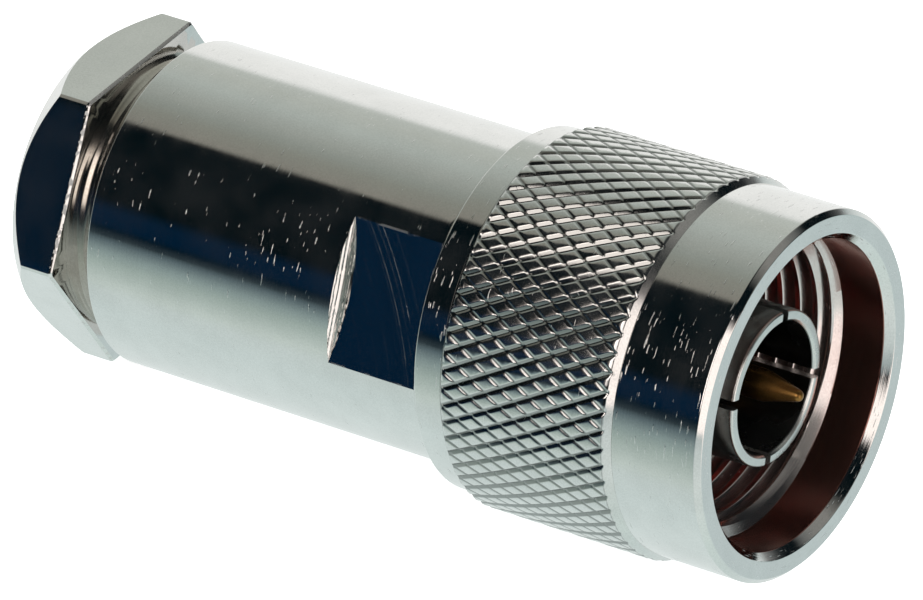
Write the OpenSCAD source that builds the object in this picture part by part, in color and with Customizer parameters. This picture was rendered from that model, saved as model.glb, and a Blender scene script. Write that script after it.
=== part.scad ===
// Coaxial screw-coupling plug, clamp type, for a 10 mm class cable.
// Frame: millimetres, +X runs along the connector's axis towards the mating end, and X = 0 is
// the end face of the slotted outer contact, the plane that both halves of a mated pair share.
// +Z is up with the plug lying on one flat of the clamp nut's hexagon. Every piece is turned
// about X, so stations along the axis are counted forwards (+) or backwards (-) from that plane.

/* [Coupling nut] */
// how far the nut's front rim stands ahead of the mating plane
nut_lead = 1.65; // [1.2:0.05:2.2]
// diameter of the smooth front sleeve
sleeve_d = 19.5; // [19.2:0.1:19.8]
// length of the smooth front sleeve
sleeve_len = 5.15; // [4:0.05:6]
// chamfer round the outside of the front rim
rim_chamfer = 0.29; // [0.1:0.01:0.6]
// diameter over the crests of the knurl
knurl_d = 20.2; // [20:0.1:21.4]
// length of the knurled belt between its end slopes
knurl_len = 9.64; // [7:0.04:10.6]
// axial length of the slope at each end of the knurl
knurl_slope = 0.36; // [0.2:0.02:0.6]
// number of ridges round the nut in each of the two crossing families
knurl_count = 63; // [40:1:72]
// rows of crossings along the belt
knurl_rows = 11; // [7:1:13]
// depth of the pits between the ridges
knurl_pit = 0.4; // [0.2:0.02:0.45]
// diameter of the plain rear collar
collar_d = 19.26; // [19:0.02:19.6]
// length of the plain rear collar
collar_len = 1.71; // [1:0.01:3]
// diameter of the counterbore in the mouth
mouth_d = 16.3; // [16:0.05:16.6]
// depth of the counterbore before the coupling thread
mouth_depth = 2.87; // [2:0.01:4]
// width of the lead-in at the mouth, measured on the radius
mouth_lead_r = 0.4; // [0.1:0.05:0.6]
// length of the lead-in at the mouth
mouth_lead_len = 0.46; // [0.2:0.02:1]
// crest diameter of the coupling thread (16 mm class, 24 turns per inch)
coupling_crest_d = 14.9; // [14.7:0.02:15]
// length of the coupling thread
coupling_len = 6.6; // [5:0.1:7]
// length of the chamfer that starts the coupling thread
coupling_start = 0.45; // [0.2:0.05:0.8]

/* [Body] */
// outside diameter of the main cylinder
body_d = 17.4; // [17:0.1:17.8]
// length of the main cylinder
body_len = 20.45; // [19.5:0.05:22]
// where the main cylinder starts behind the mating plane
body_start = 16.0; // [15.95:0.05:16.6]
// distance across the pair of wrench flats
flats_across = 15.62; // [15:0.02:16.6]
// length of the wrench flats
flats_len = 5.4; // [3:0.1:6.5]
// roll of the wrench flats from a flat of the clamp nut
flats_roll = 4.8; // [-30:0.1:30]
// where the front face of the body's neck lies behind the mating plane
seat_depth = 10.4; // [10.2:0.05:10.6]

/* [Outer contact] */
// outside diameter of the slotted sleeve
contact_od = 8.26; // [8.1:0.02:8.4]
// bore of the slotted sleeve
contact_id = 7.0; // [6.9:0.05:7.2]
// number of slots
slot_count = 4; // [3:1:6]
// width of a slot
slot_w = 0.5; // [0.3:0.05:0.8]
// length of a slot
slot_len = 7.5; // [4:0.1:8.5]
// angle of the first slot about the axis
slot_angle = 72.7; // [0:0.1:120]

/* [Centre pin] */
// diameter of the pin that enters the socket
pin_d = 1.65; // [1.6:0.01:1.68]
// how far the tip stands ahead of the mating plane
pin_lead = 1.55; // [-1:0.05:2]
// diameter behind the pin's shoulder
pin_shank_d = 3.04; // [3:0.01:3.1]
// how far the shoulder lies behind the mating plane
pin_shoulder = 5.3; // [5.2:0.02:5.8]
// hole in the solder cup for the cable's inner conductor
cup_hole_d = 2.4; // [2.2:0.05:2.8]

/* [Clamp nut] */
// distance across the flats of the hexagon
hex_across = 15.88; // [15:0.02:16.4]
// length of the hexagon
hex_len = 3.36; // [3:0.02:6]
// gap left between the body's end and the hexagon
hex_gap = 1.99; // [1.6:0.01:3]
// length of the cone that cuts the hexagon's rear corners
hex_cone_len = 1.55; // [0.8:0.05:2]
// radius of the hexagon's rear face
hex_rear_r = 7.75; // [7.4:0.05:7.9]
// outside diameter of the clamp nut's thread (0.75 mm pitch)
neck_d = 15.0; // [14.8:0.02:15.1]
// length of the threaded neck ahead of the hexagon
neck_len = 7.24; // [6.6:0.02:8]
// bore for the cable's jacket
cable_d = 10.7; // [10.2:0.05:11.2]

/* [Hidden] */
$fn = 96;
turn_clear = 0.05;         // radial running clearance of the coupling nut and of the clamp thread
axial_play = 0.30;         // free travel of the coupling nut each way along the axis
ring_t = 1.0;              // section of the retaining ring along the axis
ring_depth = 0.8;          // how deep the ring's groove is cut into the body's neck

nut_front = nut_lead;
sleeve_rear = nut_front - sleeve_len;
knurl_front = sleeve_rear - knurl_slope;
knurl_rear = knurl_front - knurl_len;
collar_front = knurl_rear - knurl_slope;
nut_rear = collar_front - collar_len;
coupling_front = nut_front - mouth_depth - coupling_start;
coupling_rear = coupling_front - coupling_len;
nut_guide_r = coupling_crest_d / 2;

neck_r = nut_guide_r - turn_clear;
seat_x = -seat_depth;
body_front = -body_start;
body_rear = body_front - body_len;
ring_setback = 1.8;        // from the body's front face back to the groove of the ring
ring_gap = 3.0;            // opening of the split ring
ring_wall = 1.15;          // section of the ring on the radius
ring_front = seat_x - ring_setback;
ring_groove = ring_t + 0.1;
ring_r = neck_r - ring_depth;

seal_t = 1.4;              // soft ring on the body's front face
seal_in_r = 5.05;
seal_out_r = 7.0;
seal_edge = 0.15;

contact_base_r = 4.9;      // base of the outer contact, pressed into the body
contact_base_step = 1.0;   // how far the base stands out of the body's front face
contact_base_len = 4.0;
contact_wall = (contact_od - contact_id) / 2;
contact_base_front = seat_x + contact_base_step;
contact_base_rear = contact_base_front - contact_base_len;
bead_setback = 0.6;        // the front insulator sits this far inside the body's front face
bead_len = 6.0;
bead_r = 4.2;
bead_front = seat_x - bead_setback;
bead_rear = bead_front - bead_len;
rear_bead_r = 5.0;
rear_bead_len = 4.6;
rear_bead_rear = bead_rear - rear_bead_len;
pin_collar_r = 2.3;
pin_collar_len = 1.2;
cup_r = 1.95;
cup_depth = 4.2;
cup_window = 0.8;          // inspection hole in the solder cup
braid_gap = 1.4;           // from the rear insulator back to the seat of the braid
braid_cone_len = 1.2;      // 45 degree seat where the cable's braid is trapped
braid_cone_front = rear_bead_rear - braid_gap;
clamp_seat = braid_cone_front - braid_cone_len;
chamber_r = neck_d / 2 + turn_clear;

stack_r = chamber_r - 0.15;    // loose rings of the cable clamp inside the chamber
braid_clamp_len = 1.4;
braid_bore_r = 3.9;
braid_nose_len = 1.0;
braid_nose_r = 4.4;
braid_root_r = 5.5;
washer_t = 1.0;
hex_front = body_rear - hex_gap;
hex_rear = hex_front - hex_len;
gasket_rear = hex_front + neck_len + washer_t;   // behind it come the washer and the nut

// a solid turned about +X from a list of [station along the axis, radius]
module turned(points)
    rotate([90, 0, 90]) rotate_extrude() polygon([for (p = points) [p[1], p[0]]]);

// a plain ring about +X
module ring(x0, x1, r_in, r_out)
    turned([[x0, r_in], [x1, r_in], [x1, r_out], [x0, r_out]]);

// Knurled sleeve: a net of ridges in two families that wind opposite ways. On a grid of
// half-pitch steps the crossings and the pit floors alternate like a chessboard, and the
// ridges run along the diagonals that join the crossings.
module knurl_belt() {
    steps = 2 * knurl_count;
    root = knurl_d / 2 - knurl_pit;
    bed = 0.05;    // how far each end runs into the plain sleeve and the collar
    inner = 9.2;
    rows = concat(
        [[knurl_rear - knurl_slope - bed, collar_d / 2 - bed, collar_d / 2 - bed]],
        [for (j = [0:knurl_rows])
            [knurl_rear + j * knurl_len / knurl_rows,
             j % 2 == 0 ? knurl_d / 2 : root, j % 2 == 0 ? root : knurl_d / 2]],
        [[knurl_front + knurl_slope + bed, sleeve_d / 2 - bed, sleeve_d / 2 - bed]]);
    n = len(rows);
    function at(x, r, k) = [x, r * cos(360 * k / steps), r * sin(360 * k / steps)];
    outer_pts = [for (row = rows, k = [0:steps - 1]) at(row[0], row[1 + k % 2], k)];
    inner_pts = [for (j = [0, n - 1], k = [0:steps - 1]) at(rows[j][0], inner, k)];
    function o(j, k) = j * steps + k % steps;
    function i(j, k) = n * steps + j * steps + k % steps;
    skin = [for (j = [0:n - 2], k = [0:steps - 1])
        let (a = o(j, k), b = o(j + 1, k), c = o(j + 1, k + 1), d = o(j, k + 1),
             lean = (j + k) % 2 == 1)
        each (lean ? [[a, b, c], [a, c, d]] : [[a, b, d], [b, c, d]])];
    bore = [for (k = [0:steps - 1]) each
        [[i(0, k), i(0, k + 1), i(1, k + 1)], [i(0, k), i(1, k + 1), i(1, k)]]];
    ends = [for (k = [0:steps - 1]) each
        [[o(0, k), o(0, k + 1), i(0, k + 1)], [o(0, k), i(0, k + 1), i(0, k)],
         [o(n - 1, k), i(1, k), i(1, k + 1)], [o(n - 1, k), i(1, k + 1), o(n - 1, k + 1)]]];
    polyhedron(points = concat(outer_pts, inner_pts), faces = concat(skin, bore, ends));
}

// Turned coupling nut: smooth sleeve, knurled belt and plain collar outside; counterbored
// mouth, coupling thread (plain at its crests), relief and guide bore inside.
module coupling_nut() {
    relief_r = mouth_d / 2;
    relief_rear = seat_x - 0.35;
    groove_front = ring_front + axial_play;
    groove_rear = ring_front - ring_groove - axial_play;
    core_r = 9.5;
    color([0.80, 0.81, 0.83]) difference() {
        union() {
            turned([[nut_rear, 0], [nut_front, 0],
                    [nut_front, sleeve_d / 2 - rim_chamfer],
                    [nut_front - rim_chamfer, sleeve_d / 2],
                    [sleeve_rear, sleeve_d / 2], [sleeve_rear, core_r],
                    [collar_front, core_r], [collar_front, collar_d / 2],
                    [nut_rear + 0.15, collar_d / 2], [nut_rear, collar_d / 2 - 0.15]]);
            knurl_belt();
        }
        turned([[nut_front + 1, 0], [nut_front + 1, mouth_d / 2 + mouth_lead_r],
                [nut_front, mouth_d / 2 + mouth_lead_r],
                [nut_front - mouth_lead_len, mouth_d / 2],
                [nut_front - mouth_depth, mouth_d / 2],
                [coupling_front, coupling_crest_d / 2],
                [coupling_rear, coupling_crest_d / 2],
                [coupling_rear - 0.4, relief_r], [relief_rear, relief_r],
                [relief_rear, nut_guide_r], [groove_front, nut_guide_r],
                [groove_front, ring_r + ring_depth + 0.75],
                [groove_rear, ring_r + ring_depth + 0.75],
                [groove_rear, nut_guide_r], [nut_rear + 0.25, nut_guide_r],
                [nut_rear, nut_guide_r + 0.25], [nut_rear - 1, nut_guide_r + 0.25],
                [nut_rear - 1, 0]]);
    }
}

// Turned body: a slim neck that carries the coupling nut, then the main cylinder with a pair
// of wrench flats; stepped bore for the contact, the insulators and the cable clamp.
module body_shell() {
    cut = body_d;
    color([0.78, 0.79, 0.81]) difference() {
        turned([[body_rear, chamber_r + 0.3], [body_rear + 0.45, chamber_r],
                [clamp_seat, chamber_r], [clamp_seat, rear_bead_r + braid_cone_len],
                [braid_cone_front, rear_bead_r], [bead_rear, rear_bead_r],
                [bead_rear, bead_r], [contact_base_rear, bead_r],
                [contact_base_rear, contact_base_r], [seat_x, contact_base_r],
                [seat_x, neck_r - 0.15], [seat_x - 0.15, neck_r],
                [ring_front, neck_r], [ring_front, ring_r],
                [ring_front - ring_groove, ring_r], [ring_front - ring_groove, neck_r],
                [body_front, neck_r], [body_front, body_d / 2 - 0.2],
                [body_front - 0.2, body_d / 2], [body_rear + 0.08, body_d / 2],
                [body_rear, body_d / 2 - 0.08]]);
        for (side = [0, 180]) rotate([150 + flats_roll + side, 0, 0])
            translate([body_front - flats_len, flats_across / 2, -cut / 2])
                cube([flats_len + 0.5, cut, cut]);
    }
}

// Slotted spring sleeve that grips inside the mating socket; its base is pressed into the body.
// It is turned and slotted first, then rolled until its first slot comes to its angle.
module outer_contact() {
    share = 360 / slot_count;
    color([0.84, 0.83, 0.80]) rotate([slot_angle - share / 2, 0, 0]) difference() {
        turned([[contact_base_rear, bead_r], [bead_front, bead_r],
                [bead_front, contact_id / 2], [-0.1, contact_id / 2],
                [0, contact_id / 2 + 0.06], [0, contact_od / 2 - 0.1],
                [-0.14, contact_od / 2], [contact_base_front, contact_od / 2],
                [contact_base_front, contact_base_r], [contact_base_rear, contact_base_r]]);
        for (k = [0:slot_count - 1]) rotate([share * (k + 0.5), 0, 0])
            translate([-slot_len, contact_id / 2 - contact_wall, -slot_w / 2])
                cube([slot_len + contact_wall, contact_wall * 3, slot_w]);
    }
}

// Soft ring on the body's front face, which seals on the rim of the mating socket.
module seat_gasket() {
    color([0.62, 0.10, 0.06])
        turned([[seat_x, seal_in_r], [seat_x + seal_t, seal_in_r],
                [seat_x + seal_t, seal_out_r - seal_edge],
                [seat_x + seal_t - seal_edge, seal_out_r], [seat_x, seal_out_r]]);
}

// Split spring ring in the groove of the body's neck; it holds the coupling nut on.
module retaining_ring() {
    slack = (ring_groove - ring_t) / 2;
    color([0.60, 0.60, 0.62]) difference() {
        ring(ring_front - ring_t - slack, ring_front - slack, ring_r, ring_r + ring_wall);
        rotate([200, 0, 0]) translate([ring_front - 2 * ring_t, 0, -ring_gap / 2])
            cube([3 * ring_t, neck_r * 1.5, ring_gap]);
    }
}

// Plastic bead that centres the pin behind the mating end.
module front_insulator() {
    color([0.93, 0.93, 0.91]) ring(bead_rear, bead_front, pin_shank_d / 2, bead_r);
}

// Gold-plated pin: slim nose, thicker shank behind a shoulder, a collar between the two
// insulators and a hollow solder cup with an inspection hole.
module center_pin() {
    nose = 0.55;
    r = pin_d / 2;
    collar_rear = bead_rear - pin_collar_len;
    cup_floor = rear_bead_rear + cup_depth;
    color([0.83, 0.66, 0.30]) difference() {
        turned(concat(
            [[rear_bead_rear, 0]],
            [[rear_bead_rear, cup_r - 0.12], [rear_bead_rear + 0.12, cup_r],
             [collar_rear, cup_r], [collar_rear, pin_collar_r], [bead_rear, pin_collar_r],
             [bead_rear, pin_shank_d / 2], [-pin_shoulder - 0.2, pin_shank_d / 2],
             [-pin_shoulder, pin_shank_d / 2 - 0.2], [-pin_shoulder, r]],
            [for (a = [0:15:75]) [pin_lead - nose + nose * sin(a), r * cos(a)]],
            [[pin_lead, 0]]));
        turned([[rear_bead_rear - 1, 0], [rear_bead_rear - 1, cup_hole_d / 2],
                [cup_floor, cup_hole_d / 2], [cup_floor + 0.5, 0]]);
        translate([rear_bead_rear + cup_depth / 2 + 0.1, 0, 0])
            cylinder(h = cup_r * 2, d = cup_window);
    }
}

// Plastic washer behind the pin's collar; it takes the push of the cable's core.
module rear_insulator() {
    hole = cup_r + turn_clear;
    step = pin_collar_r + turn_clear;
    color([0.92, 0.92, 0.90])
        turned([[rear_bead_rear, hole], [bead_rear - pin_collar_len, hole],
                [bead_rear - pin_collar_len, step], [bead_rear, step],
                [bead_rear, rear_bead_r], [rear_bead_rear, rear_bead_r]]);
}

// Brass ring with a tapered nose; the cable's braid is folded over the nose and trapped.
module braid_clamp() {
    color([0.79, 0.77, 0.72])
        turned([[clamp_seat - braid_clamp_len, braid_bore_r],
                [clamp_seat + braid_nose_len, braid_bore_r],
                [clamp_seat + braid_nose_len, braid_nose_r], [clamp_seat, braid_root_r],
                [clamp_seat, stack_r], [clamp_seat - braid_clamp_len, stack_r]]);
}

// Soft ring squeezed on the cable's jacket; it seals and grips.
module cable_gasket() {
    color([0.09, 0.09, 0.10])
        ring(gasket_rear, clamp_seat - braid_clamp_len, cable_d / 2, stack_r - 0.1);
}

// Plain washer that lets the clamp nut turn without twisting the soft ring.
module slip_washer() {
    color([0.77, 0.76, 0.72])
        ring(gasket_rear - washer_t, gasket_rear, cable_d / 2 + 0.05, stack_r - 0.1);
}

// Clamp nut: threaded neck inside the body (plain at its crests) and a short hexagon whose
// rear corners are turned to a cone.
module clamp_nut() {
    corner_r = hex_across / 2 / cos(30);
    color([0.79, 0.80, 0.82]) difference() {
        union() {
            turned([[hex_front - 0.5, 0], [hex_front + neck_len, 0],
                    [hex_front + neck_len, neck_d / 2 - 0.35],
                    [hex_front + neck_len - 0.35, neck_d / 2],
                    [hex_front - 0.5, neck_d / 2]]);
            intersection() {
                translate([hex_rear, 0, 0]) rotate([90, 0, 90])
                    cylinder(h = hex_len, r = corner_r, $fn = 6);
                turned([[hex_rear, 0], [hex_front, 0], [hex_front, corner_r * 1.1],
                        [hex_rear + hex_cone_len, corner_r * 1.1],
                        [hex_rear + hex_cone_len, corner_r + 0.02], [hex_rear, hex_rear_r]]);
            }
        }
        turned([[hex_rear - 1, 0], [hex_rear - 1, cable_d / 2 + 0.6],
                [hex_rear, cable_d / 2 + 0.6], [hex_rear + 0.6, cable_d / 2],
                [hex_front + neck_len + 1, cable_d / 2], [hex_front + neck_len + 1, 0]]);
    }
}

coupling_nut();
body_shell();
outer_contact();
seat_gasket();
retaining_ring();
front_insulator();
center_pin();
rear_insulator();
braid_clamp();
cable_gasket();
slip_washer();
clamp_nut();
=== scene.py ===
# A coaxial screw-coupling plug for a 10 mm cable, lying on a pale bench: knurled coupling nut,
# turned body with wrench flats, clamp nut with a hexagon, slotted contact and gold pin.
# Lengths in the sections are millimetres along the plug's axis (+X is the mating end).
import bmesh
import bpy
import numpy as np
from mathutils import Matrix


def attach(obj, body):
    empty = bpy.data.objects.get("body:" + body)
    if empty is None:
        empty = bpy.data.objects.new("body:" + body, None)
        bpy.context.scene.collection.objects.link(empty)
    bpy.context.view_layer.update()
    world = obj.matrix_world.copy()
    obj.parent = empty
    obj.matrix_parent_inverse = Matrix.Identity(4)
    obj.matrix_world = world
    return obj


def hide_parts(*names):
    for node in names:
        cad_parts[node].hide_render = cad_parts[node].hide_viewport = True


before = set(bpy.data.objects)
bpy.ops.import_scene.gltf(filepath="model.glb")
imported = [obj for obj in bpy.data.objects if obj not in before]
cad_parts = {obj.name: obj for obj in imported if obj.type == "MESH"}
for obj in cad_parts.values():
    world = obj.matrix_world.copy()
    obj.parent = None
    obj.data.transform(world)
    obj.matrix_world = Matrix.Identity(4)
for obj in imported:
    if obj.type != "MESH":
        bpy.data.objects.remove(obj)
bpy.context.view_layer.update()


# ---- camera ----
# A long lens half a metre away, looking down past the mating end along the plug.
lens = bpy.data.cameras.new("camera")
lens.sensor_width, lens.lens = 36.0, 430.86
lens.clip_start, lens.clip_end = 0.01, 20.0
camera = bpy.data.objects.new("camera", lens)
bpy.context.collection.objects.link(camera)
right, up = np.array([0.8272010, 0.5586097, -0.0607753]), np.array([-0.2610029, 0.4777604, 0.8388221])
back = np.cross(right, up)
camera.matrix_world = Matrix(np.vstack([np.column_stack(
    [right, up, back, [0.2613495, -0.3821873, 0.3043217]]), [0, 0, 0, 1]]).tolist())
bpy.context.scene.camera = camera
bpy.context.scene.view_settings.view_transform = "Standard"


# ---- room light ----
# What bright metal sees round the bench: a white sweep behind, a grey ceiling that ends in
# the dark of the room, a pale bench in front, and one big warm window past the mating end.
room = bpy.data.worlds.new("room")
bpy.context.scene.world = room
room.use_nodes = True
tree = room.node_tree
tree.nodes.clear()


def wire(tree, kind, inputs=(), **settings):
    """Adds one node: settings are its properties, inputs its socket values or links."""
    node = tree.nodes.new(kind)
    for key, value in settings.items():
        setattr(node, key, value)
    for key, value in dict(inputs).items():
        if isinstance(value, bpy.types.NodeSocket):
            tree.links.new(value, node.inputs[key])
        else:
            node.inputs[key].default_value = value
    return node


def sums(tree, operation, *terms):
    """One Math node: the operation on its terms, each a number or a socket."""
    return wire(tree, "ShaderNodeMath", enumerate(terms), operation=operation).outputs[0]


def ramp(tree, factor, stops, smooth="LINEAR"):
    """A colour ramp: (position, (r, g, b)) stops, at most 32."""
    node = wire(tree, "ShaderNodeValToRGB", {"Fac": factor})
    bar = node.color_ramp
    bar.interpolation = smooth
    while len(bar.elements) < len(stops):
        bar.elements.new(0.5)
    for place, (at, colour) in zip(bar.elements, stops):
        place.position, place.color = at, (*colour, 1.0)
    return node.outputs[0]


def band(tree, value, low, high, soft):
    """1 between low and high, falling smoothly to 0 within soft outside them."""
    rise = wire(tree, "ShaderNodeMapRange", {0: value, 1: low - soft, 2: low + soft},
                interpolation_type="SMOOTHSTEP").outputs[0]
    fall = wire(tree, "ShaderNodeMapRange", {0: value, 1: high - soft, 2: high + soft, 3: 1.0, 4: 0.0},
                interpolation_type="SMOOTHSTEP").outputs[0]
    return sums(tree, "MULTIPLY", rise, fall)


look = wire(tree, "ShaderNodeSeparateXYZ",
            {0: wire(tree, "ShaderNodeTexCoord").outputs["Generated"]}).outputs
# the angle of the sight line about the plug's axis: 0 level behind the plug, 90 overhead
turn = sums(tree, "ARCTAN2", look[2], look[1])
turn01 = wire(tree, "ShaderNodeMapRange", {0: turn, 1: -np.pi, 2: np.pi}).outputs[0]


def at(degrees):
    return (degrees + 180.0) / 360.0


dark, navy = (0.0, 0.0036, 0.0055), (0.0, 0.0125, 0.036)
cable_side = ramp(tree, turn01, [
    (at(-180), (0.050, 0.075, 0.085)), (at(-177), (0.12, 0.17, 0.19)), (at(-169), (0.30, 0.39, 0.385)),
    (at(-161), (0.43, 0.53, 0.495)), (at(-145), (0.66, 0.76, 0.72)), (at(-137), (0.70, 0.80, 0.785)),
    (at(-121), (0.735, 0.845, 0.835)), (at(-89), (0.79, 0.89, 0.88)), (at(-57), (0.80, 0.87, 0.86)),
    (at(-42), (0.87, 0.91, 0.90)), (at(-33), (0.97, 0.99, 0.98)), (at(0), (1.03, 1.04, 1.02)),
    (at(19), (1.03, 1.04, 1.02)), (at(23), (0.92, 0.94, 0.92)), (at(27), (0.60, 0.64, 0.60)),
    (at(38), (0.565, 0.60, 0.555)), (at(54), (0.515, 0.565, 0.53)), (at(70), (0.405, 0.436, 0.40)),
    (at(79), (0.33, 0.36, 0.325)), (at(87), (0.294, 0.305, 0.265)), (at(99), (0.285, 0.275, 0.24)),
    (at(100.5), dark), (at(155), dark), (at(162), navy), (at(172), navy), (at(175), (0.001, 0.010, 0.020)),
    (at(178.5), (0.025, 0.040, 0.050))])
mating_side = ramp(tree, turn01, [
    (at(-180), (0.06, 0.08, 0.09)), (at(-172), (0.40, 0.47, 0.47)), (at(-155), (0.70, 0.78, 0.77)),
    (at(-132), (0.82, 0.90, 0.88)), (at(-100), (0.75, 0.87, 0.84)), (at(-60), (0.68, 0.79, 0.79)),
    (at(-39), (0.63, 0.73, 0.735)), (at(-8), (0.55, 0.66, 0.66)), (at(-3), (0.42, 0.50, 0.50)),
    (at(2), dark), (at(27), dark), (at(33), (0.15, 0.155, 0.15)), (at(42), (0.25, 0.25, 0.235)),
    (at(56), (0.27, 0.265, 0.25)), (at(66), (0.14, 0.14, 0.13)), (at(74), dark), (at(176), dark)])
along = wire(tree, "ShaderNodeMapRange", {0: look[0], 1: -0.25, 2: 0.30},
             interpolation_type="SMOOTHSTEP").outputs[0]


def blend(tree, factor, first, second):
    """Colour `first` where factor is 0 and `second`, with its alpha if plain, where it is 1."""
    return wire(tree, "ShaderNodeMix", {0: factor, 6: first, 7: second}, data_type="RGBA").outputs[2]


# the warm window: a slanted box of sight lines by bearing (from +X towards +Y) and height
bearing = sums(tree, "ARCTAN2", look[1], look[0])
window = sums(tree, "MULTIPLY", band(tree, bearing, np.radians(-37), np.radians(1), 0.035),
              band(tree, look[2], -1.0, 0.50, 0.03))
sill = sums(tree, "ADD", look[2], sums(tree, "MULTIPLY", bearing, 0.77))
window = sums(tree, "MULTIPLY", window, band(tree, sill, -0.594, 2.0, 0.04))
# a low lamp across the bench, seen by the slanted walls of the knurl, with a dim surround
across_bench = band(tree, turn, np.radians(126), np.radians(165), 0.05)
lamp = sums(tree, "MULTIPLY", band(tree, look[0], -0.20, 0.45, 0.05), across_bench)
halo = sums(tree, "MULTIPLY", band(tree, look[0], -0.36, 0.45, 0.10), across_bench)
shine = blend(tree, halo, blend(tree, along, cable_side, mating_side), (0.26, 0.225, 0.205, 1.0))
shine = blend(tree, lamp, shine, (2.5, 2.28, 2.16, 1.0))
shine = blend(tree, window, shine, (1.47, 1.34, 1.27, 1.0))
path = wire(tree, "ShaderNodeLightPath").outputs
soft = wire(tree, "ShaderNodeBackground", {"Color": (1.0, 1.0, 1.0, 1.0), "Strength": 1.35})
gloss = wire(tree, "ShaderNodeBackground", {"Color": shine})
mixed = wire(tree, "ShaderNodeMixShader", {0: path["Is Glossy Ray"], 1: soft.outputs[0], 2: gloss.outputs[0]})
wire(tree, "ShaderNodeOutputWorld", {0: mixed.outputs[0]})


# ---- bench ----
# A wide pale sheet that touches the knurl and the lowest flat of the clamp nut's hexagon.
def bench_sheet(size, cells):
    """Plane through (-0.0135, -0.0101) and (-0.0395, -0.00794) in x and z, carried along y."""
    u, v = np.meshgrid(np.linspace(-size, size, cells), np.linspace(-size, size, cells), indexing="ij")
    slope = (0.0101 - 0.00794) / (0.0395 - 0.0135)
    points = np.stack([u, v, -0.01012 - slope * (u + 0.0135)], -1).reshape(-1, 3)
    i, j = np.meshgrid(np.arange(cells - 1), np.arange(cells - 1), indexing="ij")
    a = (i * cells + j).ravel()
    return points, np.stack([a, a + cells, a + cells + 1, a + 1], 1)


mesh = bpy.data.meshes.new("bench")
points, quads = bench_sheet(3.0, 25)
mesh.from_pydata(points.tolist(), [], quads.tolist())
bench = bpy.data.objects.new("bench", mesh)
bpy.context.collection.objects.link(bench)
paper = bpy.data.materials.new("bench_paper")
paper.use_nodes = True
tree = paper.node_tree
shader = tree.nodes["Principled BSDF"]
grain = wire(tree, "ShaderNodeTexNoise", {"Vector": wire(tree, "ShaderNodeTexCoord").outputs["Object"],
                                          "Scale": 40.0, "Detail": 3.0})
tree.links.new(ramp(tree, grain.outputs[0], [(0.3, (0.93, 0.93, 0.93)), (0.7, (0.955, 0.955, 0.955))]),
               shader.inputs["Base Color"])
shader.inputs["Roughness"].default_value = 1.0
shader.inputs["Specular IOR Level"].default_value = 0.0
shader.inputs["Emission Color"].default_value = (1.0, 1.0, 1.0, 1.0)
shader.inputs["Emission Strength"].default_value = 0.72
mesh.materials.append(paper)
bench.visible_glossy = False


# ---- body ----
# Turned from brass bar: a slim neck under the coupling nut, then the main cylinder with a
# pair of milled wrench flats, bored in steps for the contact, the beads and the cable clamp.
def eased(corners, ease, bits=5, closed=True):
    """Swaps each corner C of an outline for the parabola from A to B, the points `ease` back along
    its two sides: (1-t)^2 A + 2t(1-t) C + t^2 B. A point each side keeps the long sides straight."""
    c = np.asarray(corners, float)
    e = np.broadcast_to(np.asarray(ease, float), (len(c),))[:, None]
    before, after = np.roll(c, 1, 0) - c, np.roll(c, -1, 0) - c
    lb, la = np.linalg.norm(before, axis=1)[:, None], np.linalg.norm(after, axis=1)[:, None]
    a, b = c + before * np.minimum(e / lb, 0.3), c + after * np.minimum(e / la, 0.3)
    holds = c + before * np.minimum(1.8 * e / lb, 0.42), c + after * np.minimum(1.8 * e / la, 0.42)
    t = np.linspace(0, 1, bits + 1)[None, :, None]
    curve = (1 - t) ** 2 * a[:, None] + 2 * t * (1 - t) * c[:, None] + t ** 2 * b[:, None]
    full = np.concatenate([holds[0][:, None], curve, holds[1][:, None]], 1)
    if not closed:
        full[0], full[-1] = c[0], c[-1]
    return full.reshape(-1, 2)


def weld(name, points, faces, sharp=22.0, sort_sides=False):
    """Makes a smooth-shaded object of points in mm and faces of three or four corners. Points
    that meet are joined, so seams and poles close; edges over `sharp` degrees stay crisp."""
    keys, first, number = np.unique(np.round(points / 2e-5).astype(np.int64), axis=0,
                                    return_index=True, return_inverse=True)
    faces = number.reshape(-1)[faces]
    same = faces == np.roll(faces, -1, 1)
    polygons = [faces[~same.any(1)]]
    if faces.shape[1] == 4:
        pinched = faces[same.sum(1) == 1]
        keep = (same[same.sum(1) == 1].argmax(1)[:, None] + np.arange(1, 4)) % 4
        polygons.append(np.take_along_axis(pinched, keep, 1))
    polygons = [p[(p[:, 0] != p[:, 2]) & (p[:, 1] != p[:, -1])] for p in polygons]
    mesh = bpy.data.meshes.new(name)
    mesh.from_pydata((points[first] * 0.001).tolist(), [], [f for p in polygons for f in p.tolist()])
    if sort_sides:
        work = bmesh.new()
        work.from_mesh(mesh)
        bmesh.ops.recalc_face_normals(work, faces=work.faces)
        work.to_mesh(mesh)
        work.free()
    mesh.shade_smooth()
    mesh.set_sharp_from_angle(angle=np.radians(sharp))
    obj = bpy.data.objects.new(name, mesh)
    bpy.context.collection.objects.link(obj)
    return obj


def skin(name, grid, sharp=22.0):
    """One closed surface from a grid of points (rows, columns, xyz)."""
    rows, columns = grid.shape[:2]
    i, j = np.meshgrid(np.arange(rows - 1), np.arange(columns - 1), indexing="ij")
    a = (i * columns + j).ravel()
    return weld(name, grid.reshape(-1, 3), np.stack([a, a + columns, a + columns + 1, a + 1], 1), sharp)


def about_axis(path, angles):
    """Surface of revolution: station (x, r) at angle a goes to (x, r cos a, r sin a)."""
    x, r = path[:, :1], path[:, 1:]
    return np.stack([x + 0 * angles, r * np.cos(angles), r * np.sin(angles)], -1)


def loop(path):
    """Closes an outline and runs it so that its outside ends up outside."""
    area = np.sum(path[:, 0] * np.roll(path[:, 1], -1) - np.roll(path[:, 0], -1) * path[:, 1])
    path = path if area > 0 else path[::-1]
    return np.vstack([path, path[:1]])


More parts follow.
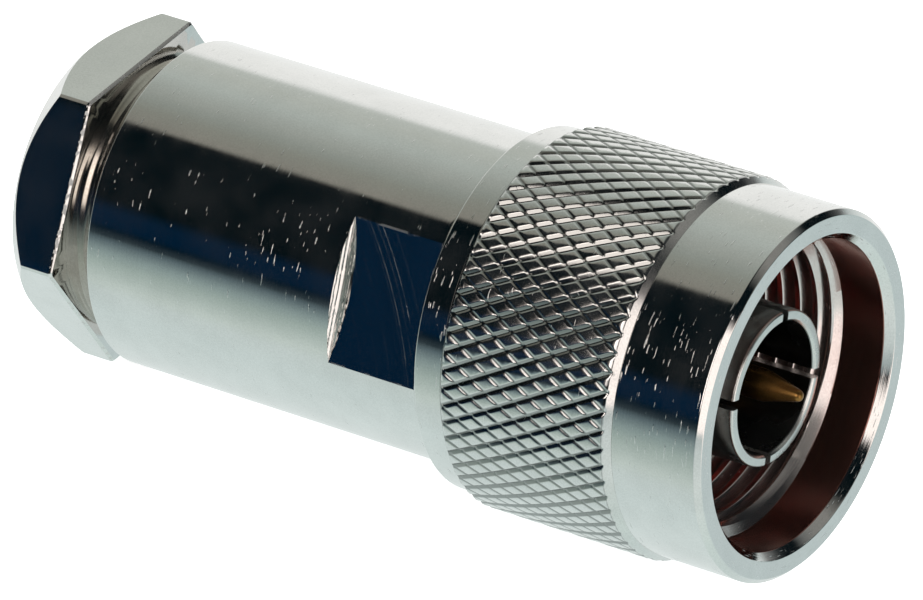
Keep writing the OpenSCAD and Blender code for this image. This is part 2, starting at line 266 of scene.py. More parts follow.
def turned(name, corners, ease=0.05, sides=288, bits=5):
    """A ring turned about the axis from the corners of its section."""
    return skin(name, about_axis(loop(eased(corners, ease, bits)), np.linspace(0, 2 * np.pi, sides + 1)))


BODY_R, FLAT, ROLL = 8.7, 7.81, np.radians(154.8)


def body_angles():
    """Angles round the body that include the four long edges of the flats."""
    edge = np.arccos(FLAT / BODY_R)
    parts = [np.linspace(ROLL - edge, ROLL + edge, 41)[:-1], np.linspace(ROLL + edge, ROLL + np.pi - edge, 105)[:-1]]
    half = np.concatenate(parts)
    return np.concatenate([half, half + np.pi, half[:1] + 2 * np.pi])


def flat_radius(angles):
    """Radius to the nearer of the two flats, or of the cylinder where that is less."""
    c = np.abs(np.cos(angles - ROLL))
    return np.minimum(BODY_R, FLAT / np.maximum(c, 1e-3))


def body_grid():
    """Rows of (x, r) round the body's section. Rows between the front face and the wall behind
    the flats take their radius from the flats; the wall's rows climb from flat to cylinder,
    and step in and out a little with their height, as the cutter left it."""
    a = body_angles()
    flat = flat_radius(a)
    inner = eased([(-10.4, 7.25), (-10.55, 7.40), (-12.2, 7.40), (-12.2, 6.60), (-13.3, 6.60), (-13.3, 7.40),
                   (-16.0, 7.40)][::-1], 0.03, 3, False)
    rear = eased([(-21.4, BODY_R), (-36.37, BODY_R), (-36.45, 8.62), (-36.45, 7.85), (-36.0, 7.55), (-24.2, 7.55),
                  (-24.2, 6.20), (-23.0, 5.00), (-17.0, 5.00), (-17.0, 4.20), (-13.4, 4.20), (-13.4, 4.90),
                  (-10.4, 4.90), (-10.4, 7.25)], 0.03, 3, False)
    rows = [np.stack([0 * a + x, 0 * a + r], -1) for x, r in inner]
    lip = np.linspace(0, np.pi / 2, 5)
    for s in lip:
        rows.append(np.stack([0 * a - 16.0 - 0.10 * (1 - np.cos(s)), flat - 0.10 * (1 - np.sin(s))], -1))
    for x in np.linspace(-16.2, -21.36, 9):
        rows.append(np.stack([0 * a + x, flat], -1))
    for v in np.linspace(0, 1, 26):
        r = flat + v * (BODY_R - flat)
        h = r * np.abs(np.cos(a - ROLL)) - FLAT
        step = 0.045 * np.sin(2 * np.pi * h / 0.30) * np.clip(h / 0.05, 0, 1) * np.clip((BODY_R - r) / 0.06, 0, 1)
        lean = -0.10 * np.clip(h, 0, 1)
        rows.append(np.stack([-21.4 + np.where(flat < BODY_R - 1e-6, step + lean * np.clip((BODY_R - r) / 0.06, 0, 1), 0), r], -1))
    rows += [np.stack([0 * a + x, 0 * a + r], -1) for x, r in rear[1:]]
    grid = np.array(rows)
    x, r = grid[..., 0], grid[..., 1]
    return np.stack([x, r * np.cos(a), r * np.sin(a)], -1)


body = skin("body_turned", body_grid()[::-1], sharp=20)


def group(name, inputs, outputs):
    """A new shader node group with named sockets: returns its tree, its input node's sockets
    and its output node."""
    tree = bpy.data.node_groups.new(name, "ShaderNodeTree")
    for label, kind, value in inputs:
        socket = tree.interface.new_socket(label, in_out="INPUT", socket_type=kind)
        if value is not None:
            socket.default_value = value
    for label, kind in outputs:
        tree.interface.new_socket(label, in_out="OUTPUT", socket_type=kind)
    return tree, tree.nodes.new("NodeGroupInput").outputs, tree.nodes.new("NodeGroupOutput")


# Marks of the turning tool: fine rings that run round the axis, told apart by station and
# radius, and short dashes where the plating caught. Height feeds a bump, Dash a roughness.
tree, given, out = group("tool_rings",
                         [("Rings per mm", "NodeSocketFloat", 9.0), ("Breaks", "NodeSocketFloat", 3.0),
                          ("Dash depth", "NodeSocketFloat", 3.0), ("Dash level", "NodeSocketFloat", 0.77)],
                         [("Height", "NodeSocketFloat"), ("Dash", "NodeSocketFloat")])
place = wire(tree, "ShaderNodeSeparateXYZ", {0: wire(tree, "ShaderNodeTexCoord").outputs["Object"]}).outputs
radius = sums(tree, "SQRT", sums(tree, "ADD", sums(tree, "MULTIPLY", place[1], place[1]),
                                 sums(tree, "MULTIPLY", place[2], place[2])))
ways = [sums(tree, "DIVIDE", place[k], sums(tree, "MAXIMUM", radius, 1e-5)) for k in (1, 2)]
station = sums(tree, "MULTIPLY", sums(tree, "ADD", place[0], sums(tree, "MULTIPLY", radius, 1.37)), 1000.0)


def ring_noise(tree, rings, breaks, detail):
    """Noise stretched round the axis: `rings` turns of it per mm of station, `breaks` per radian."""
    vector = wire(tree, "ShaderNodeCombineXYZ", {0: sums(tree, "MULTIPLY", station, rings),
                                                 1: sums(tree, "MULTIPLY", ways[0], breaks),
                                                 2: sums(tree, "MULTIPLY", ways[1], breaks)}).outputs[0]
    return wire(tree, "ShaderNodeTexNoise", {"Vector": vector, "Scale": 1.0, "Detail": detail}).outputs[0]


rings = ring_noise(tree, given["Rings per mm"], given["Breaks"], 2.0)
patch = ring_noise(tree, 0.35, 5.0, 1.0)
level = sums(tree, "ADD", given["Dash level"], sums(tree, "MULTIPLY", patch, -0.16))
dashes = wire(tree, "ShaderNodeMapRange", {0: ring_noise(tree, 8.5, 11.0, 1.5), 1: level,
                                           2: sums(tree, "ADD", level, 0.06)}).outputs[0]
tree.links.new(sums(tree, "ADD", rings, sums(tree, "MULTIPLY", dashes, given["Dash depth"])), out.inputs["Height"])
tree.links.new(dashes, out.inputs["Dash"])

# Handling: broad soft smears that dull a polished skin unevenly, and the plate's own fine grain.
tree, given, out = group("handling", [("Scale", "NodeSocketFloat", 420.0), ("Grain scale", "NodeSocketFloat", 11000.0)],
                         [("Smear", "NodeSocketFloat"), ("Grain", "NodeSocketFloat")])
spot = wire(tree, "ShaderNodeTexCoord").outputs["Object"]
smear = wire(tree, "ShaderNodeTexNoise", {"Vector": spot, "Scale": given["Scale"], "Detail": 4.0, "Roughness": 0.6})
grain = wire(tree, "ShaderNodeTexNoise", {"Vector": spot, "Scale": given["Grain scale"], "Detail": 1.0})
for source, label in ((smear, "Smear"), (grain, "Grain")):
    tree.links.new(wire(tree, "ShaderNodeMapRange", {0: source.outputs[0], 1: 0.35, 2: 0.65}).outputs[0],
                   out.inputs[label])


def effect(tree, name, **values):
    """Places a node group with its own values."""
    node = tree.nodes.new("ShaderNodeGroup")
    node.node_tree = bpy.data.node_groups[name]
    for key, value in values.items():
        node.inputs[key.replace("_", " ")].default_value = value
    return node.outputs


def bright_metal(name, tone, worn, rough=(0.055, 0.12), rings=9.0, breaks=3.0, level=0.79, depth=2.2e-6, dash=3.0):
    """Bright plate over a turned surface. Tone and roughness vary with smears and grain, the
    rings of the tool show as a bump `depth` metres high, and dashes scatter the light."""
    material = bpy.data.materials.new(name)
    material.use_nodes = True
    tree = material.node_tree
    shader = tree.nodes["Principled BSDF"]
    shader.inputs["Metallic"].default_value = 1.0
    tool = effect(tree, "tool_rings", Rings_per_mm=rings, Breaks=breaks, Dash_depth=dash, Dash_level=level)
    hand = effect(tree, "handling")
    mottle = sums(tree, "MULTIPLY", sums(tree, "ADD", hand["Smear"], hand["Grain"]), 0.5)
    tree.links.new(ramp(tree, mottle, [(0.0, tone), (1.0, worn)]), shader.inputs["Base Color"])
    dull = wire(tree, "ShaderNodeMapRange", {0: hand["Smear"], 3: rough[0], 4: rough[1]}).outputs[0]
    dull = sums(tree, "MAXIMUM", dull, sums(tree, "MULTIPLY", tool["Dash"], 0.34))
    tree.links.new(dull, shader.inputs["Roughness"])
    bump = wire(tree, "ShaderNodeBump", {"Height": tool["Height"], "Distance": depth, "Strength": 1.0}, name="relief")
    tree.links.new(bump.outputs[0], shader.inputs["Normal"])
    return material


def position(tree):
    """Object coordinates in mm: x, y, z and the distance from the axis."""
    x, y, z = [sums(tree, "MULTIPLY", part, 1000.0) for part in wire(
        tree, "ShaderNodeSeparateXYZ", {0: wire(tree, "ShaderNodeTexCoord").outputs["Object"]}).outputs]
    return x, y, z, sums(tree, "SQRT", sums(tree, "ADD", sums(tree, "MULTIPLY", y, y), sums(tree, "MULTIPLY", z, z)))


def overlay(material, socket, mask, value, node="Principled BSDF"):
    """Where mask is 1, the shader's socket takes value (a number or a colour)."""
    tree = material.node_tree
    target = tree.nodes[node].inputs[socket]
    before = target.links[0].from_socket if target.links else target.default_value
    if isinstance(value, tuple):
        tree.links.new(blend(tree, mask, before, value), target)
    else:
        mixed = wire(tree, "ShaderNodeMapRange", {0: mask, 3: before, 4: value})
        tree.links.new(mixed.outputs[0], target)


nickel = bright_metal("body_nickel", (0.76, 0.755, 0.74), (0.67, 0.67, 0.655), level=0.785)
tree = nickel.node_tree
x, y, z, radius = position(tree)
across = sums(tree, "ADD", sums(tree, "MULTIPLY", y, -np.sin(ROLL)), sums(tree, "MULTIPLY", z, np.cos(ROLL)))
height = sums(tree, "ABSOLUTE", sums(tree, "ADD", sums(tree, "MULTIPLY", y, np.cos(ROLL)),
                                     sums(tree, "MULTIPLY", z, np.sin(ROLL))))
on_flat = sums(tree, "MULTIPLY", band(tree, height, FLAT - 0.03, FLAT + 0.03, 0.01), band(tree, x, -21.38, 0.0, 0.01))
# the cutter that milled the flats left long arcs about a far centre, and a burr along each edge
dx, dv = sums(tree, "ADD", x, 39.7), sums(tree, "SUBTRACT", across, 11.2)
reach = sums(tree, "SQRT", sums(tree, "ADD", sums(tree, "MULTIPLY", dx, dx), sums(tree, "MULTIPLY", dv, dv)))
patchy = wire(tree, "ShaderNodeTexNoise", {"Vector": wire(tree, "ShaderNodeTexCoord").outputs["Object"],
                                           "Scale": 700.0, "Detail": 3.0}).outputs[0]
arcs = None
for place, width, strength in ((24.98, 0.035, 0.9), (24.72, 0.03, 0.55), (24.36, 0.035, 0.8), (24.20, 0.02, 0.5),
                               (23.3, 0.03, 0.3), (22.6, 0.03, 0.3), (21.7, 0.04, 0.25), (25.6, 0.03, 0.35)):
    one = sums(tree, "MULTIPLY", band(tree, reach, place - width, place + width, 0.03), strength)
    arcs = one if arcs is None else sums(tree, "MAXIMUM", arcs, one)
arcs = sums(tree, "MULTIPLY", arcs, wire(tree, "ShaderNodeMapRange", {0: patchy, 1: 0.35, 2: 0.55}).outputs[0])
edge = sums(tree, "MULTIPLY", band(tree, sums(tree, "ABSOLUTE", across), 3.76, 4.2, 0.02),
            wire(tree, "ShaderNodeMapRange", {0: patchy, 1: 0.50, 2: 0.56}).outputs[0])
marks = sums(tree, "MULTIPLY", sums(tree, "MAXIMUM", arcs, edge), on_flat)
overlay(nickel, "Strength", on_flat, 0.0, "relief")
overlay(nickel, "Roughness", on_flat, 0.07)
overlay(nickel, "Roughness", marks, 0.30)
body.data.materials.append(nickel)
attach(body, "plug_body")
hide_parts("body_shell")


# ---- coupling nut ----
# Turned from brass and nickel plated: a smooth sleeve, a rolled diamond knurl and a plain
# collar outside; a counterbored mouth, the coupling thread, a relief and the guide bore inside.
nut = turned("nut_shell", [
    (1.65, 8.55), (1.65, 9.46), (1.36, 9.75), (-3.50, 9.75), (-3.50, 9.40), (-13.86, 9.40), (-13.86, 9.63),
    (-15.42, 9.63), (-15.57, 9.48), (-15.57, 7.70), (-15.32, 7.45), (-13.60, 7.45), (-13.60, 8.15), (-11.90, 8.15),
    (-11.90, 7.45), (-10.75, 7.45), (-10.75, 8.15), (1.19, 8.15)], ease=0.035, bits=4)


def knurl_belt(pitches=63, fine=14, front=-3.50, rear=-13.86, crest=10.095):
    """Diamond knurl: two families of V grooves wind opposite ways over a cylinder. On a grid of
    `fine` steps to a pitch both run along grid diagonals, so with s steps round and t steps
    along they lie where s+t or s-t is a multiple of `fine`. Each family's depth falls off with
    the distance a from its groove as a wall plus a dome crown (1 - a/w)^2; the two are summed as
    fourth powers, so the deeper one wins. The diagonals crowd towards the groove walls. A cone
    trims both ends and each square is cut along its nearer groove."""
    columns = pitches * fine
    length, row = 9.64, 9.64 / (5.5 * fine)
    t = np.concatenate([[-0.36, -0.30, -0.20, -0.10], np.arange(round(5.5 * fine) + 1) * row,
                        length + np.arange(0.03, 0.37, 0.03)]) / row
    s_grid, t_grid = np.meshgrid(np.arange(columns + 1.0), t)
    around, along = 2 * np.pi * crest / columns, row
    unit = around * along / np.hypot(around, along)
    wide = fine / 2 * unit
    steps = np.arange(fine + 1) * unit

    def crowd(count, half):
        """Shifts diagonal number `count` to its place in half a pitch, mirrored in the other half."""
        places = np.array([0, 0.03, half - 0.065, half - 0.03, half, half + 0.03, half + 0.10, wide])
        places = np.concatenate([places, 2 * wide - places[-2::-1]]) / unit
        whole = np.floor(count / fine)
        return whole * fine + np.interp(count - whole * fine, np.arange(fine + 1), places)

    inside = np.clip(np.minimum(t_grid, length / row - t_grid) / 4, 0, 1)
    plus, minus = s_grid + t_grid, s_grid - t_grid
    plus = plus + inside * (crowd(plus, 0.18) - plus)
    minus = minus + inside * (crowd(minus, 0.14) - minus)
    s_grid, t_grid = (plus + minus) / 2, (plus - minus) / 2
    rising = np.abs((plus + fine / 2) % fine - fine / 2) * unit
    falling = np.abs((minus + fine / 2) % fine - fine / 2) * unit

    def cut(distance, half, deep, crown, soft=0.014):
        wall = deep / half * soft * np.logaddexp(0, (half - distance) / soft)
        return wall + crown * (1 - distance / wide) ** 2

    depth = (cut(rising, 0.18, 0.082, 0.046) ** 4 + cut(falling, 0.14, 0.040, 0.026) ** 4) ** 0.25
    cone = crest - 0.42 * np.clip(np.maximum((t_grid * row - length + 0.06) / 0.42, -t_grid * row / 0.36), 0, 1)
    r = np.minimum(crest - depth, cone)
    angle = s_grid * 2 * np.pi / columns
    x = rear + 0.36 + t_grid * row
    outer = np.stack([x, r * np.cos(angle), r * np.sin(angle)], -1)
    turn_round = np.arange(columns + 1) * 2 * np.pi / columns
    inner = about_axis(np.array([(front, 9.3), (rear, 9.3)]), turn_round)
    points = np.concatenate([inner[1:], outer, inner[:1], inner[1:]])
    i, j = np.meshgrid(np.arange(len(points) - 1), np.arange(columns), indexing="ij")
    a = i * (columns + 1) + j
    b, c, d = a + 1, a + columns + 2, a + columns + 1
    lean = np.zeros(a.shape, bool)
    lean[1:len(t)] = (rising < falling)[:-1, :-1]
    first = np.where(lean[..., None], np.stack([a, b, d], -1), np.stack([a, b, c], -1))
    second = np.where(lean[..., None], np.stack([b, c, d], -1), np.stack([a, c, d], -1))
    return points.reshape(-1, 3), np.concatenate([first.reshape(-1, 3), second.reshape(-1, 3)])


points, faces = knurl_belt()
knurl = weld("nut_knurl", points, faces, sharp=50)
nut_nickel = bright_metal("nut_nickel", (0.76, 0.755, 0.74), (0.67, 0.67, 0.655), level=0.75, depth=2.6e-6)
# the counterbore is a reamed, duller bore; its red-brown base colour is painted reflection of the soft red ring and the
# dark inside
tree = nut_nickel.node_tree
x, y, z, radius = position(tree)
bore = sums(tree, "MULTIPLY", band(tree, radius, 7.9, 8.19, 0.01), band(tree, x, -14.0, 1.22, 0.01))
overlay(nut_nickel, "Base Color", bore, (0.36, 0.185, 0.155, 1.0))
overlay(nut_nickel, "Roughness", bore, 0.20)
overlay(nut_nickel, "Strength", bore, 0.0, "relief")
nut.data.materials.append(nut_nickel)
knurl_nickel = bright_metal("knurl_nickel", (0.75, 0.745, 0.73), (0.63, 0.63, 0.615), rough=(0.10, 0.2), rings=5.0,
                            breaks=12.0, dash=1.5)
# painted shade: the plate's base colour is darker down in the grooves, but not on the front cone
tree = knurl_nickel.node_tree
x, y, z, radius = position(tree)
painted_groove_shade = wire(tree, "ShaderNodeMapRange", {0: radius, 1: 10.078, 2: 10.045}, interpolation_type="SMOOTHSTEP").outputs[0]
trimmed = band(tree, x, -3.90, -3.0, 0.03)
overlay(knurl_nickel, "Base Color", sums(tree, "MULTIPLY", painted_groove_shade, sums(tree, "SUBTRACT", 1.0, trimmed)),
        (0.33, 0.335, 0.325, 1.0))
knurl.data.materials.append(knurl_nickel)


def coupling_thread(pitch=1.0583, crest=7.45, root=8.02, front=-1.22, rear=-8.67, sides=240):
    """Right-hand internal thread. Its section (x, r) repeats each pitch and is carried forwards
    by pitch * angle / 2 pi, so the grid's rows follow the helix; a cone opens it at each end."""
    flank = np.linspace(0.0, 1.0, 5)
    ridge = np.column_stack([0.5725 * flank * 0.5 + 0.27, crest + 0.05 + (root - crest - 0.07) * flank])
    tooth = np.vstack([[(0.0, crest), (0.23, crest), (0.25, crest + 0.015)], ridge, [(0.575, root), (0.675, root)],
                       ridge[::-1] * [-1, 1] + [1.25, 0], [(1.0 - 0.005, crest + 0.01)]])
    turns = np.arange(-10, 3)
    x = (turns[:, None] + tooth[None, :, 0]).ravel() * pitch
    r = np.tile(tooth[:, 1], len(turns))
    angle = np.linspace(0, 2 * np.pi, sides + 1)
    x = x[:, None] + pitch * angle / (2 * np.pi) - 0.40 * pitch
    opening = crest + 0.75 * np.maximum((x + 1.67) / 0.45, (-8.27 - x) / 0.40)
    r = np.minimum(np.maximum(r[:, None], opening), 8.2)
    inside = np.stack([np.clip(x, rear, front), r], -1)
    ends = [np.stack([0 * angle + x0, 0 * angle + 8.35], -1) for x0 in (rear, front)]
    rows = np.concatenate([[ends[0]], inside, [ends[1]], [ends[0]]])
    return np.stack([rows[..., 0], rows[..., 1] * np.cos(angle), rows[..., 1] * np.sin(angle)], -1)


thread = skin("nut_thread", coupling_thread(), sharp=32)
thread_nickel = bright_metal("thread_nickel", (0.75, 0.70, 0.68), (0.66, 0.58, 0.56), rough=(0.14, 0.2), depth=1.0e-6,
                             dash=1.0)
thread.data.materials.append(thread_nickel)
for piece in (nut, knurl, thread):
    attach(piece, "coupling")
    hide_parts("coupling_nut")


# ---- clamp nut ----
# Turned and milled from hexagon bar: a threaded neck that screws into the body and a short
# hexagon whose rear corners are turned off to a cone.
HEX = 7.94


def hex_angles(share=24):
    """Angles round the hexagon, closer together near its corners, which are at 0, 60, ... degrees."""
    t = np.linspace(-1, 1, share + 1)[:-1]
    one = 30 * np.sign(t) * (1 - (1 - np.abs(t)) ** 1.6)
    return np.radians(np.concatenate([np.concatenate([one + 30 + 60 * k for k in range(6)]), [360.0]]))


def clamp_grid():
    """The hexagon's radius is HEX / cos(angle from the flat's middle), capped just short of the
    corner. The cone r = 7.75 + slope (x - rear) meets it at a station that varies round the nut."""
    a = hex_angles()
    mid = (np.degrees(a) % 60) - 30
    hexagon = np.minimum(HEX / np.cos(np.radians(mid)), 9.11)
    slope = (9.188 - 7.75) / 1.55
    meet = np.maximum(-41.80 + (hexagon - 7.75) / slope, -41.80 + 0.02)
    rows = []
    bore = eased([(-41.80, 5.95), (-41.20, 5.35), (-31.20, 5.35), (-31.20, 6.95), (-38.44, 6.95)], 0.03, 3, False)
    rows += [np.stack([0 * a + x, 0 * a + r], -1) for x, r in bore]
    for back, drop in ((0.0, 0.165), (0.005, 0.15), (0.025, 0.125), (0.125, 0.025), (0.15, 0.005)):
        rows.append(np.stack([0 * a - 38.44 - back, hexagon - drop], -1))
    for v in (0.03, 0.5, 0.97):
        rows.append(np.stack([-38.655 + v * (meet + 38.655), hexagon], -1))
    for v in (0.0, 0.04, 0.5, 0.96):
        rows.append(np.stack([meet + v * (-41.80 - meet), hexagon + v * (np.minimum(hexagon, 7.75) - hexagon)], -1))
    tail = eased([(-41.80, 7.75), (-41.80, 7.2), (-41.80, 5.95)], 0.03, 3, False)
    rear = np.minimum(hexagon, 7.75)
    for v in (0.0, 0.05, 0.5, 0.96, 1.0):
        rows.append(np.stack([0 * a - 41.80, rear + v * (5.95 - rear)], -1))
    grid = np.array(rows)
    return np.stack([grid[..., 0], grid[..., 1] * np.cos(a), grid[..., 1] * np.sin(a)], -1)


clamp = skin("clamp_hexagon", clamp_grid()[::-1], sharp=20)


def clamp_thread(pitch=0.75, crest=7.5, depth=0.07, front=-31.20, rear=-38.44, sides=200):
    """Right-hand external thread of fine pitch with rounded flanks: at station x and angle a
    the radius is crest - depth/2 (1 - cos 2 pi (x / pitch - a / 2 pi)), run out at both ends."""
    rows = np.linspace(rear, front, 170)[:, None]
    angle = np.linspace(0, 2 * np.pi, sides + 1)
    fade = np.clip((rows - rear - 0.2) / 0.4, 0, 1) * np.clip((front - rows) / 0.5, 0.3, 1)
    r = crest - 0.01 - fade * depth / 2 * (1 - np.cos(2 * np.pi * rows / pitch - angle))
    outside = np.stack([rows + 0 * r, r], -1)
    ends = [np.stack([0 * angle + x0, 0 * angle + 6.90], -1) for x0 in (rear, front)]
    rows = np.concatenate([[ends[0]], outside, [ends[1]], [ends[0]]])
    return np.stack([rows[..., 0], rows[..., 1] * np.cos(angle), rows[..., 1] * np.sin(angle)], -1)


neck = skin("clamp_thread", clamp_thread()[::-1], sharp=32)
hex_nickel = bright_metal("hex_nickel", (0.76, 0.755, 0.74), (0.67, 0.67, 0.655), rings=4.0, breaks=4.0, level=0.95,
                          depth=1.6e-6)
# the eased front edge of the hexagon is beaded by the deburring brush
tree = hex_nickel.node_tree
x, y, z, radius = position(tree)
beads = wire(tree, "ShaderNodeTexNoise", {"Vector": wire(tree, "ShaderNodeTexCoord").outputs["Object"],
                                          "Scale": 3600.0, "Detail": 1.0}).outputs[0]
beads = sums(tree, "MULTIPLY", band(tree, x, -38.59, -38.445, 0.004),
             wire(tree, "ShaderNodeMapRange", {0: beads, 1: 0.50, 2: 0.60}).outputs[0])
overlay(hex_nickel, "Roughness", beads, 0.55)
clamp.data.materials.append(hex_nickel)
neck_nickel = bright_metal("neck_nickel", (0.46, 0.43, 0.385), (0.36, 0.33, 0.29), rough=(0.13, 0.22), rings=7.0,
                           depth=1.2e-6, dash=0.0)
neck.data.materials.append(neck_nickel)
for piece in (clamp, neck):
    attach(piece, "clamp")
    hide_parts("clamp_nut")


# ---- slotted outer contact ----
# A thin spring sleeve with four sawn slots; its thick base is pressed into the body.
def slotted_sleeve(slots=4, first=np.radians(72.7), half=0.25, finger=26):
    """Each finger runs from one slot's edge to the next. A slot's walls are parallel, so its
    edge at radius r stands asin(half / r) off the slot's middle. Quads over the slots are left
    out, and walls join the outer skin to the bore along them."""
    nose_x = np.array([-7.5, -7.44, -4.0, -0.16, -0.08, -0.02, 0.0])
    nose_out = np.array([4.13, 4.13, 4.13, 4.13, 4.10, 4.05, 3.99])
    nose_in = np.array([3.5, 3.5, 3.5, 3.5, 3.56, 3.62, 3.645])
    base = np.array([(-9.36, 4.13), (-9.40, 4.17), (-9.40, 4.86), (-9.44, 4.90), (-13.36, 4.90), (-13.40, 4.86),
                     (-13.40, 4.24), (-13.36, 4.20), (-11.04, 4.20), (-11.00, 4.16), (-11.00, 3.54), (-10.96, 3.5)])
    path = np.vstack([np.stack([nose_x, nose_out], 1), np.stack([nose_x, nose_in], 1)[::-1], base[::-1]])
    path = np.vstack([path, path[:1]])
    n = len(nose_x)
    centres = first + 2 * np.pi * np.arange(slots) / slots
    lean = np.arcsin(half / path[:, 1])[:, None]
    share = 2 * np.pi / slots
    blocks = []
    for c in centres:
        blocks.append(c + lean * np.array([-1.0, 0.0]))
        blocks.append(c + lean + (share - 2 * lean) * np.linspace(0, 1, finger)[None, :-1])
    angles = np.hstack(blocks + [centres[0] + 2 * np.pi - lean])
    points = np.stack([np.broadcast_to(path[:, :1], angles.shape), path[:, 1:] * np.cos(angles),
                       path[:, 1:] * np.sin(angles)], -1)
    rows, columns = angles.shape
    i, j = np.meshgrid(np.arange(rows - 1), np.arange(columns - 1), indexing="ij")
    per = finger + 1
    cut = (j % per < 2) & (i < 2 * n - 1)
    i, j = i[~cut], j[~cut]
    a = i * columns + j
    faces = [np.stack([a, a + columns, a + columns + 1, a + 1], 1)]
    k = np.arange(n - 1)
    for slot in range(slots):
        for edge in (slot * per, slot * per + 2):
            o, q = k * columns + edge, (2 * n - 1 - k) * columns + edge
            faces.append(np.stack([o, o + columns, q - columns, q], 1))
        for step in (0, 1):
            o = slot * per + step
            q = (2 * n - 1) * columns + slot * per + step
            faces.append(np.array([[o, o + 1, q + 1, q]]))
    return points, np.concatenate(faces)


points, faces = slotted_sleeve()
contact = weld("contact_sleeve", points.reshape(-1, 3), faces, sharp=35, sort_sides=True)
contact_plate = bright_metal("contact_plate", (0.70, 0.71, 0.69), (0.60, 0.61, 0.59), rough=(0.2, 0.3), rings=12.0,
                             dash=1.0)
contact.data.materials.append(contact_plate)
# painted shade: the sleeve's bore gets a dark base colour, and its outer skin, deep in the nut's mouth, a darker
# greenish grey
tree = contact_plate.node_tree
x, y, z, radius = position(tree)
overlay(contact_plate, "Base Color", band(tree, radius, 0.0, 3.53, 0.005), (0.16, 0.17, 0.165, 1.0))
overlay(contact_plate, "Base Color", band(tree, radius, 4.115, 4.2, 0.005), (0.27, 0.30, 0.29, 1.0))
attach(contact, "plug_body")
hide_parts("outer_contact")


# ---- centre pin ----
# Gold-plated brass: a slim nose with a rounded tip, a thicker shank behind a shoulder, a collar
# between the two beads and a hollow solder cup.
t = np.linspace(0, 1, 13)[:, None]
point = np.array([1.55, 0.0]), np.array([1.55, 0.27]), np.array([1.22, 0.34])
tip = (1 - t) ** 2 * point[0] + 2 * t * (1 - t) * point[1] + t ** 2 * point[2]
pin_path = np.vstack([tip, [(-0.60, 0.80), (-0.80, 0.822), (-1.00, 0.825)],
                      eased([(-1.10, 0.825), (-5.30, 0.825), (-5.30, 1.52), (-17.0, 1.52), (-17.0, 2.30), (-18.2, 2.30),
                             (-18.2, 1.95), (-21.6, 1.95), (-21.6, 1.20), (-17.4, 1.20), (-17.0, 0.0)], 0.05, 3, False)])
pin = skin("pin_gold", about_axis(pin_path, np.linspace(0, 2 * np.pi, 97)), sharp=30)
# painted shade and reflection: the gold's base colour is darkened to a brown for the dark sleeve round the pin
gold = bright_metal("pin_plate", (0.33, 0.18, 0.055), (0.24, 0.125, 0.035), rough=(0.26, 0.36), rings=14.0, dash=1.0)
pin.data.materials.append(gold)
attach(pin, "plug_body")
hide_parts("center_pin")


# ---- soft ring on the body's front face ----
# Red silicone, moulded; the rim of the mating socket presses into it.
gasket = turned("seat_ring", [(-10.4, 5.05), (-9.0, 5.05), (-9.0, 7.0), (-10.4, 7.0)], ease=0.22, sides=160)


def moulded(name, tone, other, rough, grain, depth, sheen=0.0):
    """Rubber or plastic straight from the mould: a faint mottle and a fine grain in the skin."""
    material = bpy.data.materials.new(name)
    material.use_nodes = True
    tree = material.node_tree
    shader = tree.nodes["Principled BSDF"]
    spot = wire(tree, "ShaderNodeTexCoord").outputs["Object"]
    mottle = wire(tree, "ShaderNodeTexNoise", {"Vector": spot, "Scale": 600.0, "Detail": 3.0}).outputs[0]
    fine = wire(tree, "ShaderNodeTexNoise", {"Vector": spot, "Scale": grain, "Detail": 2.0}).outputs[0]
    tree.links.new(ramp(tree, mottle, [(0.3, tone), (0.7, other)]), shader.inputs["Base Color"])
    tree.links.new(wire(tree, "ShaderNodeMapRange", {0: mottle, 1: 0.3, 2: 0.7, 3: rough[0], 4: rough[1]}).outputs[0],
                   shader.inputs["Roughness"])
    bump = wire(tree, "ShaderNodeBump", {"Height": fine, "Distance": depth, "Strength": 1.0})
    tree.links.new(bump.outputs[0], shader.inputs["Normal"])
    shader.inputs["Sheen Weight"].default_value = sheen
    return material


gasket.data.materials.append(moulded("red_rubber", (0.30, 0.022, 0.014), (0.24, 0.017, 0.011), (0.35, 0.5), 9000.0, 4e-6))
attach(gasket, "plug_body")
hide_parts("seat_gasket")


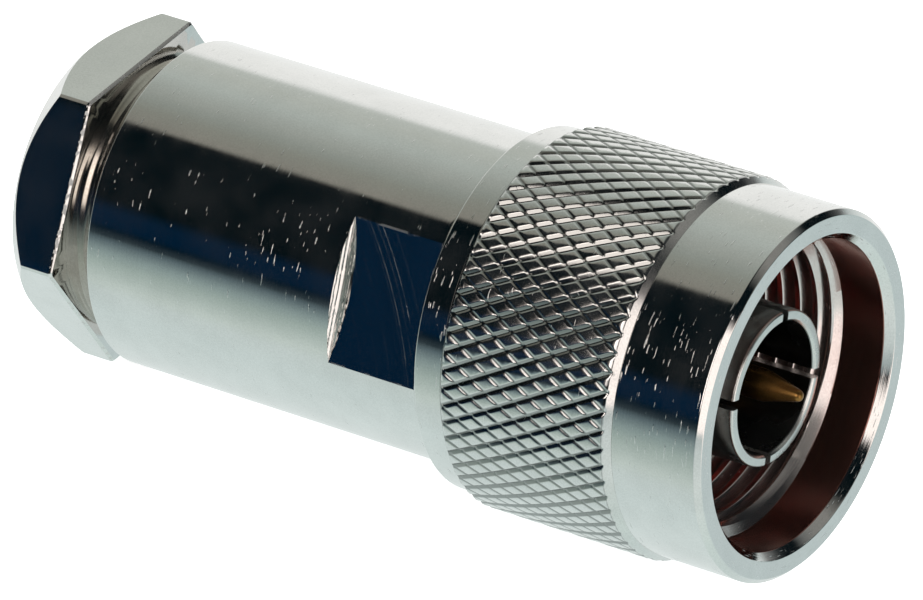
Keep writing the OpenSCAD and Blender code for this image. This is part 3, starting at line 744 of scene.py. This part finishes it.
# ---- beads ----
# Two white fluoropolymer beads hold the pin in the middle of the body.
front_bead = turned("bead_front", [(-17.0, 1.52), (-11.0, 1.52), (-11.0, 4.2), (-17.0, 4.2)], sides=144, bits=3)
rear_bead = turned("bead_rear", [(-21.6, 2.0), (-18.2, 2.0), (-18.2, 2.35), (-17.0, 2.35), (-17.0, 5.0), (-21.6, 5.0)],
                   sides=144, bits=3)
waxy = moulded("waxy_white", (0.90, 0.90, 0.88), (0.86, 0.86, 0.84), (0.32, 0.45), 4000.0, 3e-6)
for piece, node in ((front_bead, "front_insulator"), (rear_bead, "rear_insulator")):
    piece.data.materials.append(waxy)
    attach(piece, "plug_body")
    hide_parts(node)


# ---- cable clamp ----
# Loose rings behind the beads: a brass ring whose nose traps the cable's braid, a rubber ring
# that grips the jacket, and a plain washer that lets the clamp nut turn without dragging it.
braid = turned("braid_ring", [(-25.6, 3.9), (-23.2, 3.9), (-23.2, 4.4), (-24.2, 5.5), (-24.2, 7.4), (-25.6, 7.4)],
               sides=160, bits=3)
grip = turned("grip_ring", [(-30.2, 5.35), (-25.6, 5.35), (-25.6, 7.3), (-30.2, 7.3)], ease=0.15, sides=160)
washer = turned("plain_washer", [(-31.2, 5.4), (-30.2, 5.4), (-30.2, 7.3), (-31.2, 7.3)], ease=0.06, sides=160)
satin_brass = bright_metal("satin_brass", (0.78, 0.70, 0.46), (0.62, 0.53, 0.33), rough=(0.2, 0.34), rings=7.0)
for piece, node, where in ((braid, "braid_clamp", "plug_body"), (washer, "slip_washer", "clamp_washer")):
    piece.data.materials.append(satin_brass)
    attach(piece, where)
    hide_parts(node)
grip.data.materials.append(moulded("black_rubber", (0.022, 0.022, 0.024), (0.035, 0.035, 0.036), (0.5, 0.7), 7000.0, 5e-6, 0.1))
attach(grip, "plug_body")
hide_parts("cable_gasket")


# ---- retaining ring ----
# A split ring of spring wire in the neck's groove; it holds the coupling nut on the body.
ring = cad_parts["retaining_ring"]
spring = bright_metal("spring_steel", (0.46, 0.46, 0.47), (0.34, 0.34, 0.35), rough=(0.25, 0.4), rings=6.0)
ring.data.materials.clear()
ring.data.materials.append(spring)
